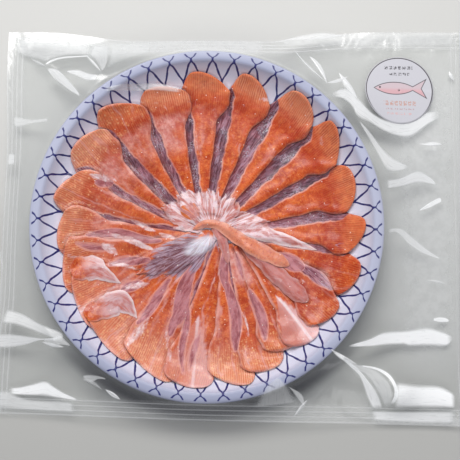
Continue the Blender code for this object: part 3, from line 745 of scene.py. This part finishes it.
def strip_form(seed, thickness, ragged, painted, stations):
    """Outline, thickness and marks of a loose strip that follows a soft run."""
    line = smooth_run(stations, 0.5)
    share = np.linspace(0, 1, len(line))
    heading = np.gradient(line[:, :2], axis=0)
    heading /= np.linalg.norm(heading, axis=1)[:, None]
    length = np.linalg.norm(np.diff(line[:, :2], axis=0), axis=1).sum()

    def form(u, v):
        # Both ends are rounded like half an ellipse, about as long as they are wide
        cap = 0.12
        front, rear = 1 - np.clip(u / cap, 0, 1), 1 - np.clip((1 - u) / cap, 0, 1)
        narrow = np.sqrt(1 - 0.5 * np.maximum(front, rear) ** 2)
        domed = np.sqrt(1 - 0.5 * v ** 2)
        shortened = cap * (1 - front * domed) - np.clip(u, 0, cap)
        shortened = shortened - cap * (1 - rear * domed) + np.clip(1 - u, 0, cap)
        teeth = np.sin(7 * v + seed) + 0.6 * np.sin(17 * v + 2 * seed)
        reach = np.clip(u + shortened, 0, 1)
        mid_x, mid_y, width, head_x, head_y = (
            np.interp(reach, share, column) for column in (*line.T, *heading.T))
        half = 0.5 * width * narrow
        half = half * (1 + 0.06 * np.sin(19 * u + seed) + 0.04 * np.sin(43 * u + 2 * seed))
        shift = ragged * teeth * (1 - u) ** 4
        side = half * v
        x = mid_x + head_x * shift + head_y * side
        y = mid_y + head_y * shift - head_x * side
        edge = np.minimum((1 - np.abs(v)) * half, length * np.minimum(u, 1 - u))
        round_edge = smooth(edge / (2.5 if thickness < 1 else 4)) ** 0.7
        thick = thickness * (0.06 + 0.94 * round_edge)
        zero = np.zeros_like(u)
        marks = {"run": length * u, "side": side, "seed": zero + seed * 17.0, "skin": side - 60,
                 "edge": edge, "tail": 0.4 + 0.2 * u, "pink": zero, "grey": zero,
                 "pale": zero + (1.0 if seed == ARC else 0), "deep": zero, "petal": zero,
                 "fade": smooth((u - 0.12) / 0.4) if seed in FLAPS else zero + 1}
        marks.update({key: value * painted for key, value in place_marks(x, y).items()})
        return x, y, thick, marks

    return form


loose = []
for number, (name, node, material, thickness, *rest) in enumerate(LOOSE, start=FIRST_LOOSE):
    sweeps, gap = (5, 0.05) if thickness < 1 else (16, 0.12)
    loose.append(lay(name, number, strip_form(number, thickness, *rest), 64, 20, sweeps, gap))
    loose[-1].data.materials.append(material)
    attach(loose[-1], "root")
    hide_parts(node)
    "fish_orange" if node == "centre_arc" else "fish_pink"

# Each piece is marked where a thick neighbour's edge stands over it, for a dark red line of painted
# shade
thin = np.isin(uppermost, [number for number, row in enumerate(LOOSE, start=FIRST_LOOSE)
                           if row[3] < 1])
shades = [spread(np.where(thin, 0, uppermost), times) for times in (1, 2, 3)]
for number, fish in enumerate(slices + loose, start=1):
    place = np.empty(len(fish.data.vertices) * 3)
    fish.data.vertices.foreach_get("co", place)
    place = place.reshape(-1, 3)
    spots = cells(place[:, 0] / MM - PLATE.x / MM, place[:, 1] / MM - PLATE.y / MM)
    edge_shade = sum(np.where(shade[spots] > number + 0.5, 1 / 3, 0) for shade in shades)
    layer = fish.data.attributes.new("edge_shade", "FLOAT", "POINT")
    layer.data.foreach_set("value", edge_shade.astype(np.float32))

# ------------------------------------------------------------------ film of the bag
# Two clear films, welded together along their edges and drawn tight by the vacuum: the upper one
# clings to the fish and the plate's rim, the lower one wraps the plate's back. Round the plate
# they lie together as a skirt with pleats, and the window's reflections in the film are painted
# white.

# Clockwise from the upper left
BAG_CORNERS = ((-125, 123), (162, 123), (162, -121), (-131, -113))
BAG_LENGTH, BAG_WIDTH = 290, 240
RIM_START, RIM_STOP, SKIRT_START = 98, 105.2, 107.4
SEAL = 12
# What the marks for the distance from each edge of the bag are called
EDGES = ("from_left", "from_top", "from_right", "from_bottom")


def bag_grid(columns, rows):
    """Places on the flat bag: s from left to right and t from the upper edge to the lower, and
    the x and y that belong to them. The upper and the left edge are drawn in by the vacuum."""
    s, t = np.meshgrid(np.linspace(0, 1, columns), np.linspace(0, 1, rows), indexing="ij")
    a, b, c, d = np.array(BAG_CORNERS, float)[:, :, None, None]
    x, y = (1 - t) * ((1 - s) * a + s * b) + t * ((1 - s) * d + s * c)
    y = y - 9 * np.exp(-(x / 75) ** 4) * (1 - t) ** 6
    x = x + 4 * np.exp(-(y / 75) ** 4) * (1 - s) ** 6
    return s, t, x, y


# The main pleats: x and y of the start, x and y of the stop, height and half width
PLEATS = (
    (-84, -66, -126, -62, 4, 10), (76, -78, 114, -100, 5, 11), (114, -100, 154, -110, 4, 12),
    (-66, 88, -100, 100, 4, 10), (66, 92, 92, 68, 1.5, 12), (102, 30, 142, 42, 3, 11),
)
# Narrow creases of film with painted reflections of the window: start, stop, half width, where
# they are widest and whiteness
CREASES = (
    (-110, 105, -100, 99, 1.0, 0.5, 0.5), (63, 105, 73, 86, 1.8, 0.4, 0.8),
    (73, 87, 87, 93, 1.4, 0.5, 0.8), (52, 112, 72, 88, 1.0, 0.6, 0.5),
    (37, 113, 84, 120, 2.6, 0.7, 0.6), (81, 95, 92, 78, 2.6, 0.5, 0.9),
    (130, 51, 145, 51, 1.6, 0.6, 0.8), (151, 98, 154, 92, 1.5, 0.5, 0.8),
    (132, -33, 145, -35, 1.0, 0.6, 0.35), (-74, -92, -62, -98, 1.4, 0.5, 0.3),
    (-126, 20, -122, -30, 1.0, 0.5, 0.3), (60, -104, 52, -114, 1.2, 0.5, 0.5),
    (48, -96, 58, -108, 2.0, 0.6, 0.5), (73, -74, 89, -83, 1.6, 0.5, 0.7),
    (-98, -70, -84, -73, 1.4, 0.5, 0.7), (-76, 107, -65, 94, 1.0, 0.5, 0.8),
    (-60, -98, -51, -104, 1.6, 0.5, 0.8),
)
# Facets of film that face the window, with its reflection painted white: one border as x, y, x, y
# and on, the other border from the same end, and whiteness
FACETS = (
    ((75, 80, 85, 85, 93, 79, 97, 74, 101, 70, 108, 66.5, 116, 65.5, 124, 66, 131, 69, 136, 72,
      144, 73),
     (76, 77.5, 82, 77, 88, 72, 91.5, 65, 99, 62.5, 107, 58.5, 115, 55.5, 123, 54.5, 129, 57,
      136, 62.5, 144, 67.5), 0.92),
    ((92, 64, 100, 56, 107, 47, 114, 41, 123, 36),
     (92, 63, 97, 54, 103, 43, 108, 33, 114, 32, 123, 35), 0.65),
    ((108, 27, 117, 29, 128, 34, 136, 31, 141, 26),
     (108, 21, 117, 23, 128, 26, 136, 26, 141, 25.5), 0.85),
    ((129, 9.6, 136, 15, 142, 18, 144, 17), (129, 9.2, 136, 11, 142, 14, 144, 15), 0.95),
    ((108, -3, 113, -2, 118, -2, 124, -6, 134, -14, 143, -20),
     (108, -6, 113, -4.5, 117, -7, 122, -12, 131, -17, 143, -20.5), 0.55),
    ((84, -72, 97, -68, 106, -64, 119, -63, 133, -61, 141, -63, 146, -65, 149, -67),
     (84, -73, 97, -73, 106, -72.5, 119, -72, 122, -73, 135, -73, 145, -73, 149, -69), 1.0),
    ((137, -56, 141, -55, 145, -55.5, 147, -57),
     (137, -57.5, 141, -58.5, 145, -58.5, 147, -58), 0.9),
    ((112, -93, 126, -95, 140, -96, 149, -101), (111, -110, 126, -110, 140, -110, 149, -110), 1.0),
    ((98, -111, 113, -111, 131, -111, 149, -111), (99, -117, 113, -118, 131, -119, 149, -119), 0.7),
    ((80, -79, 88, -84, 94, -90, 102, -100, 106, -110),
     (80, -80, 85, -85, 91, -91, 95, -102, 99, -110), 0.8),
    ((91, -83.5, 101, -85, 108, -88, 112, -93, 114, -101, 111, -108),
     (91, -84.5, 100, -86.5, 106, -90, 110, -95, 111, -101, 109, -107), 0.9),
    ((76, -76, 86, -82, 100, -86, 106, -90, 110, -95, 111, -101, 110, -109),
     (76, -77, 84, -84, 94, -90, 101, -100, 106, -109), 0.40),
    ((-120, 120, -108, 119, -97, 118, -86, 116, -72, 115),
     (-120, 109, -110, 105, -100, 101, -97, 103, -86, 106, -72, 106), 0.45),
    ((-73, 106, -68, 99, -64, 94), (-72, 114, -62, 113, -61, 103, -63.5, 94), 0.45),
    ((-99, 98, -92, 97, -86, 91, -81, 85, -77, 79),
     (-99.5, 98, -96, 92, -90, 87, -85, 83, -77, 78), 0.75),
    ((-87, 95.5, -79, 96, -72, 93, -66, 91.5), (-87, 95, -81, 92, -74, 88, -67, 87.5), 0.8),
    ((-101, 100.5, -96, 104, -88, 106, -73, 106.5),
     (-100, 99.5, -95, 102.5, -88, 104.5, -73, 105.5), 0.8),
    ((-120, 69, -116, 68, -108, 66, -97, 66), (-120, 62, -116, 61, -108, 63, -97, 63.5), 0.45),
    ((-122, 45, -118, 45), (-122, 37, -118, 37), 0.6),
    ((-59, 114, -49, 114, -35, 114), (-62, 95, -53, 100, -35, 106), 0.25),
    ((-121, -50, -110, -53, -99, -59, -86, -64, -84, -67),
     (-124, -59, -115, -60, -105, -63, -91, -68, -85, -70), 0.60),
    ((-127, -65, -116, -65, -104, -67, -97, -68, -87, -67),
     (-127, -74, -119, -74, -108, -72, -98, -69, -87, -70), 0.75),
    ((-97, -68, -90, -67, -86, -65, -84, -68, -80, -72),
     (-97, -69, -94, -73, -90, -74, -86, -72, -80, -72.5), 0.45),
    ((-119, -97.5, -113, -97, -105, -95, -97, -93, -92, -96, -86, -100, -77, -104),
     (-119, -101.5, -113, -102, -105, -102.5, -97, -103, -86, -104, -77, -105), 0.95),
    ((-127, -99, -120, -99, -108, -104, -87, -105, -79, -106),
     (-127, -110, -120, -110.5, -108, -111, -87, -112, -79, -112.5), 0.45),
    ((-74, -90, -69, -89, -63, -90, -59, -91.5), (-73, -91.5, -68, -94, -64, -92, -59, -92), 0.5),
    ((-62, 83, -49, 86, -32, 88, -16, 86), (-62, 80, -49, 82, -32, 83, -16, 82), 0.45),
    ((26, -109, 34, -96, 42, -90.5), (56, -106, 50, -98, 43, -91), 0.35),
)
# Broad panels of painted reflection: start, stop, half width, softness of their edges, whiteness
PANELS = (
    (-70, 110, 30, 110, 5, 5, 0.30), (50, 117, 150, 119, 4.5, 4, 0.35),
    (135, 75, 135, -60, 22, 36, 0.34), (104, -117, 150, -118, 3, 2, 0.3),
)


def skirt_height(x, y):
    """Height of the film outside the plate."""
    away = np.maximum(0, np.hypot(x, y) - SKIRT_START)
    height = 1.5 + (PLATE_HEIGHT / MM - 2.9) * np.exp(-away / 22)
    for *ends, crest, width in PLEATS:
        gap, _ = near_line(x, y, ends)
        height = height + crest * np.exp(-(gap / width) ** 2) * np.minimum(1, away / 6)
    return height


cover = spread(pile, 1) + 0.2
for _ in range(40):
    cover = np.maximum(cover, near_mean(cover))


def film_height(x, y):
    """Height of the upper film: over the fish inside the rim, and the skirt outside it."""
    out = np.hypot(x, y)
    over_rim, past_rim = smooth((out - RIM_START) / 3), smooth((out - RIM_STOP) / 3)
    inside = cover[cells(x, y)] * (1 - over_rim) + (PLATE_HEIGHT / MM + 0.25) * over_rim
    return inside * (1 - past_rim) + skirt_height(x, y) * past_rim


def film_marks(x, y, s, t):
    """Painted reflection on the panels, how closely the film clings, how far the bag's edges are,
    and painted shadow on the film just below the plate."""
    white = np.zeros_like(x)
    for *ends, width, softness, glare_and_haze in PANELS:
        gap, _ = near_line(x, y, ends)
        white = np.maximum(white, glare_and_haze * smooth((width - gap) / softness + 0.5))
    out = np.hypot(x, y)
    gaps = (s * BAG_LENGTH, t * BAG_WIDTH, (1 - s) * BAG_LENGTH, (1 - t) * BAG_WIDTH)
    return {"white": white, "cling": smooth((110 - out) / 3), **dict(zip(EDGES, gaps)),
            "under_plate_shadow": smooth(1 - np.abs(out - 111) / 8) * smooth((-y - 60) / 40)}


s, t, x, y = bag_grid(321, 301)
upper_film = grid_piece("upper_film", x, y, film_height(x, y), None, film_marks(x, y, s, t))

# The lower film follows the plate's back and lies under the skirt
s, t, x, y = bag_grid(161, 141)
out = np.hypot(x, y)
band = BAND / MM
back_out = [0, FOOT_RADIUS / MM + 1.5, band - 14.8, band - 3, band + 0.4, 107]
back_height = [0.6, 0.6, 2.4, 10.5, 16.2, PLATE_HEIGHT / MM - 2.2]
under_film = np.where(out < 107, np.interp(out, back_out, back_height), skirt_height(x, y) - 0.4)
lower_film = grid_piece("lower_film", x, y, np.maximum(under_film, 0.4), None, {
    "white": 0 * x, "cling": smooth((110 - out) / 3), **dict.fromkeys(EDGES, 99 + 0 * x),
    "under_plate_shadow": 0 * x})

# Sheets over the creases and facets carry the painted reflections; they lie just over the upper
# film and fade towards their borders
fold_u, fold_v = np.meshgrid(np.linspace(0, 1, 41), np.linspace(-1, 1, 13), indexing="ij")
fade = smooth((1 - np.abs(fold_v)) / 0.45)
sheets = []
for number, (*ends, width, widest, white) in enumerate(CREASES):
    start, run = np.array(ends[:2], float), np.subtract(ends[2:], ends[:2])
    length = math.hypot(*run)
    belly = np.sin(math.pi * fold_u ** (math.log(0.5) / math.log(widest)))
    side = width * belly * fold_v * (1 + 0.6 * math.sin(2.3 * number) * np.sign(fold_v))
    side = side + 0.06 * length * math.sin(1.7 * number) * 4 * fold_u * (1 - fold_u)
    x = start[0] + run[0] * fold_u - run[1] / length * side
    y = start[1] + run[1] * fold_u + run[0] / length * side
    rise = 0.15 + 0.5 * belly * (1 - np.abs(fold_v))
    sheets.append((x, y, rise, white * fade, fold_u * length, side))
for first, second, white in FACETS:
    borders = []
    for border in (first, second):
        line = smooth_run([(*spot, 0) for spot in zip(border[::2], border[1::2])], 0.5)
        share = np.linspace(0, 1, len(line))
        borders.append([np.interp(fold_u, share, line[:, axis]) for axis in (0, 1)])
    across_share = (fold_v + 1) / 2
    x, y = (near * (1 - across_share) + far * across_share for near, far in zip(*borders))
    middle, last = 6, 12
    length = math.hypot(x[-1, middle] - x[0, middle], y[-1, middle] - y[0, middle])
    breadth = np.hypot(x[:, last:] - x[:, :1], y[:, last:] - y[:, :1])
    ends_fade = smooth(np.minimum(fold_u, 1 - fold_u) / 0.10 + 0.15)
    sheets.append((x, y, 0.15 + 0.006 * breadth * fade, white * fade * ends_fade,
                   fold_u * length, fold_v * breadth / 2))
glare_sheets = []
for number, (x, y, rise, shine, along, aside) in enumerate(sheets):
    glare_sheets.append(grid_piece(f"fold_{number}", x, y, film_height(x, y) + rise, None, {
        "white": shine, "along": along, "aside": aside}))
with bpy.context.temp_override(active_object=glare_sheets[0], selected_editable_objects=glare_sheets):
    bpy.ops.object.join()
film_glare_sheets = glare_sheets[0]
film_glare_sheets.name = "film_glare_sheets"

look = Shader("clear_film")
look.nodes.remove(look.surface)
clear = (0.985, 0.99, 0.99, 1)
cling = look.mark("cling")
facing = look.add("LayerWeight", 1, inputs={"Blend": 0.5})
mirror = facing ** 5.0 * 0.9 + look.ramp(cling, 0, 1, 0.036, 0.014)
relief = look.bump(look.noise(look.spot(), 45, 3, 0.5, 0.5), look.ramp(cling, 0, 1, 0.0012, 0.0005))
# Painted shadow: the film just below the plate lets through less light, in place of the plate's
# shadow
through = look.add("BsdfTransparent", inputs={0: look.blend(
    look.mark("under_plate_shadow"), clear, (0.34, 0.34, 0.37, 1))})
gloss = look.add("BsdfGlossy", inputs={
    "Color": (1, 1, 1, 1), "Roughness": look.ramp(cling, 0, 1, 0.17, 0.22), "Normal": relief})
film = look.add("MixShader", inputs={0: mirror, 1: through, 2: gloss})
# Welded seals along the edges, pressed with fine lines that run along them
seal = 0.0
for edge in EDGES:
    gap = look.mark(edge)
    inside = look.ramp(gap, SEAL - 1, SEAL, 1.0, 0.0)
    lines = look.ramp(look.math("SINE", gap * 2.1), 0.55, 0.95, 0.07, 0.30)
    seal = look.math("MAXIMUM", inside * lines, seal)
milky = look.add("AddShader", inputs={
    0: look.add("BsdfDiffuse", inputs={"Color": (0.72, 0.73, 0.74, 1)}),
    1: look.add("BsdfTranslucent", inputs={"Color": (0.26, 0.26, 0.27, 1)})})
# Painted reflections on the panels, the welded seals and a faint milky haze whiten the film
soft = look.ramp(look.noise(look.spot(), 140, 3, 0.6), 0.3, 0.7, 0.7, 1.0)
glare_and_haze = look.math("MAXIMUM", look.mark("white") * soft, seal) + look.ramp(cling, 0, 1, 0.015, 0.003)
look.put(look.nodes["Material Output"].inputs["Surface"], look.add(
    "MixShader", inputs={0: glare_and_haze, 1: film, 2: milky}))

glare_paint = Shader("film_glare")
glare_paint.nodes.remove(glare_paint.surface)
# Painted reflections of the window, streaked along the creases and facets
streaks = glare_paint.noise(glare_paint.vector(
    glare_paint.mark("along") * 0.10, glare_paint.mark("aside") * 1.1, 0.0), 1.0, 4, 0.65, 0.6)
glare_and_haze = glare_paint.math("MINIMUM", 0.96, glare_paint.mark("white") * glare_paint.ramp(
    streaks, 0.32, 0.50, 0.78, 1.0))
# The painted reflections are duller nearer the window, which lights them more
nearer_window = glare_paint.ramp(glare_paint.axis(glare_paint.spot(), 1), -0.11, 0.11)
bright = glare_paint.add("AddShader", inputs={
    0: glare_paint.add("BsdfDiffuse", inputs={0: glare_paint.blend(
        nearer_window, (0.93, 0.94, 0.95, 1), (0.74, 0.75, 0.76, 1))}),
    1: glare_paint.add("BsdfTranslucent", inputs={"Color": (0.20, 0.20, 0.20, 1)})})
gloss = glare_paint.add("BsdfGlossy", inputs={
    "Roughness": 0.2, "Normal": glare_paint.bump(streaks, 0.0003)})
sheen = glare_paint.add("MixShader", inputs={0: 0.08, 1: bright, 2: gloss})
glare_paint.put(glare_paint.nodes["Material Output"].inputs["Surface"], glare_paint.add("MixShader", inputs={
    0: glare_and_haze, 1: glare_paint.add("BsdfTransparent", inputs={0: clear}), 2: sheen}))
for sheet, material in ((upper_film, look.material), (lower_film, look.material),
                        (film_glare_sheets, glare_paint.material)):
    sheet.data.materials.append(material)
    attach(sheet, "root")
    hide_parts("bag")

# ------------------------------------------------------------------ label
# A round white paper sticker pressed on the film at the upper right, printed with a thin ring,
# rows of scribble and a plain outline of a fish. Its back is plain.

label_low, label_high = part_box("label")
LABEL = (label_low + label_high) / 2
LABEL_RADIUS = (label_high.x - label_low.x) / 2
radius, spoke = np.meshgrid(np.linspace(0.02, 1, 26) * LABEL_RADIUS / MM,
                            np.linspace(0, 2 * math.pi, 97), indexing="ij")
x = (LABEL.x - PLATE.x) / MM + radius * np.cos(spoke)
y = (LABEL.y - PLATE.y) / MM + radius * np.sin(spoke)
bed = film_height(x, y)
paper_label = grid_piece("paper_label", x, y, bed + 0.42, bed + 0.25, {})
bm = bmesh.new()
bm.from_mesh(paper_label.data)
bmesh.ops.remove_doubles(bm, verts=bm.verts, dist=0.00002)
bmesh.ops.holes_fill(bm, edges=[edge for edge in bm.edges if edge.is_boundary], sides=200)
bmesh.ops.recalc_face_normals(bm, faces=bm.faces)
bm.to_mesh(paper_label.data)
bm.free()
look = Shader("label_paper")
spot, local = look.spot(), look.flat_way(LABEL, 1 / MM)
across, up = look.axis(local, 0), look.axis(local, 1)
out = look.vectors("LENGTH", local, output=1)
paper = look.blend(look.noise(spot, 1500, 2), (194, 194, 201), (202, 201, 208))
look.colour = paper
ring = look.ramp(abs(out - LABEL_RADIUS / MM * 0.97), 0.16, 0.40, 1, 0)
# The ring is drawn fainter towards the bottom of the label: painted glare washes it out there
look.coat(ring * look.ramp(up, -18, -5, 0.2, 1.0), (40, 32, 40))
# Rows of scribble: height, half length, half thickness and ink
scribble = look.ramp(look.noise(spot, 1150, 1), 0.42, 0.52)
dash = look.ramp(look.math("SINE", across * 2.2), -0.8, -0.5)
for height, half_length, half_line, ink in (
        (14.6, 8.6, 0.95, (52, 50, 58)), (10.6, 6.6, 0.75, (52, 50, 58)),
        (-8.3, 10.0, 1.35, (196, 146, 132)), (-12.0, 9.0, 0.35, (184, 150, 154)),
        (-15.0, 8.0, 0.6, (214, 176, 176))):
    row = look.ramp(abs(up - height), half_line, half_line + 0.25, 1, 0)
    look.coat(row * dash * scribble * look.ramp(
        abs(across), half_length, half_length + 0.3, 1, 0) * 0.85, ink)
# The fish: a pointed oval body, a forked tail and an eye, drawn at three quarters of its size
across, up = across * 0.76, (up - 1.4) * 0.8
belly = (1.0 - abs((across + 2.0) * (1 / 10)) ** 2.2) * 3.1 - abs(up)
fork = look.math("MINIMUM", (across - 5.0) * 0.6 - abs(up), abs(up) * 0.5 + 10.6 - across)
shape = look.math("MAXIMUM", belly, fork)
look.coat(look.ramp(shape, 0.0, 0.3) * look.ramp(up, -1.4, 0.6, 1.0, 0.45) * 0.8, (214, 160, 166))
look.coat(look.ramp(abs(shape), 0.10, 0.32, 1, 0) * 0.9, (52, 44, 52))
eye = look.vectors("LENGTH", look.vectors(
    "SUBTRACT", look.vector(across, up, 0.0), (-9.2, 0.4, 0)), output=1)
look.coat(look.ramp(eye, 0.35, 0.6, 1, 0), (60, 54, 60))
look.colour = look.blend(look.faces_up(), paper, look.colour)
look.finish(0.5, look.bump(look.noise(spot, 1200, 2), 0.00003))
paper_label.data.materials.append(look.material)
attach(paper_label, "root")
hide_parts("label")
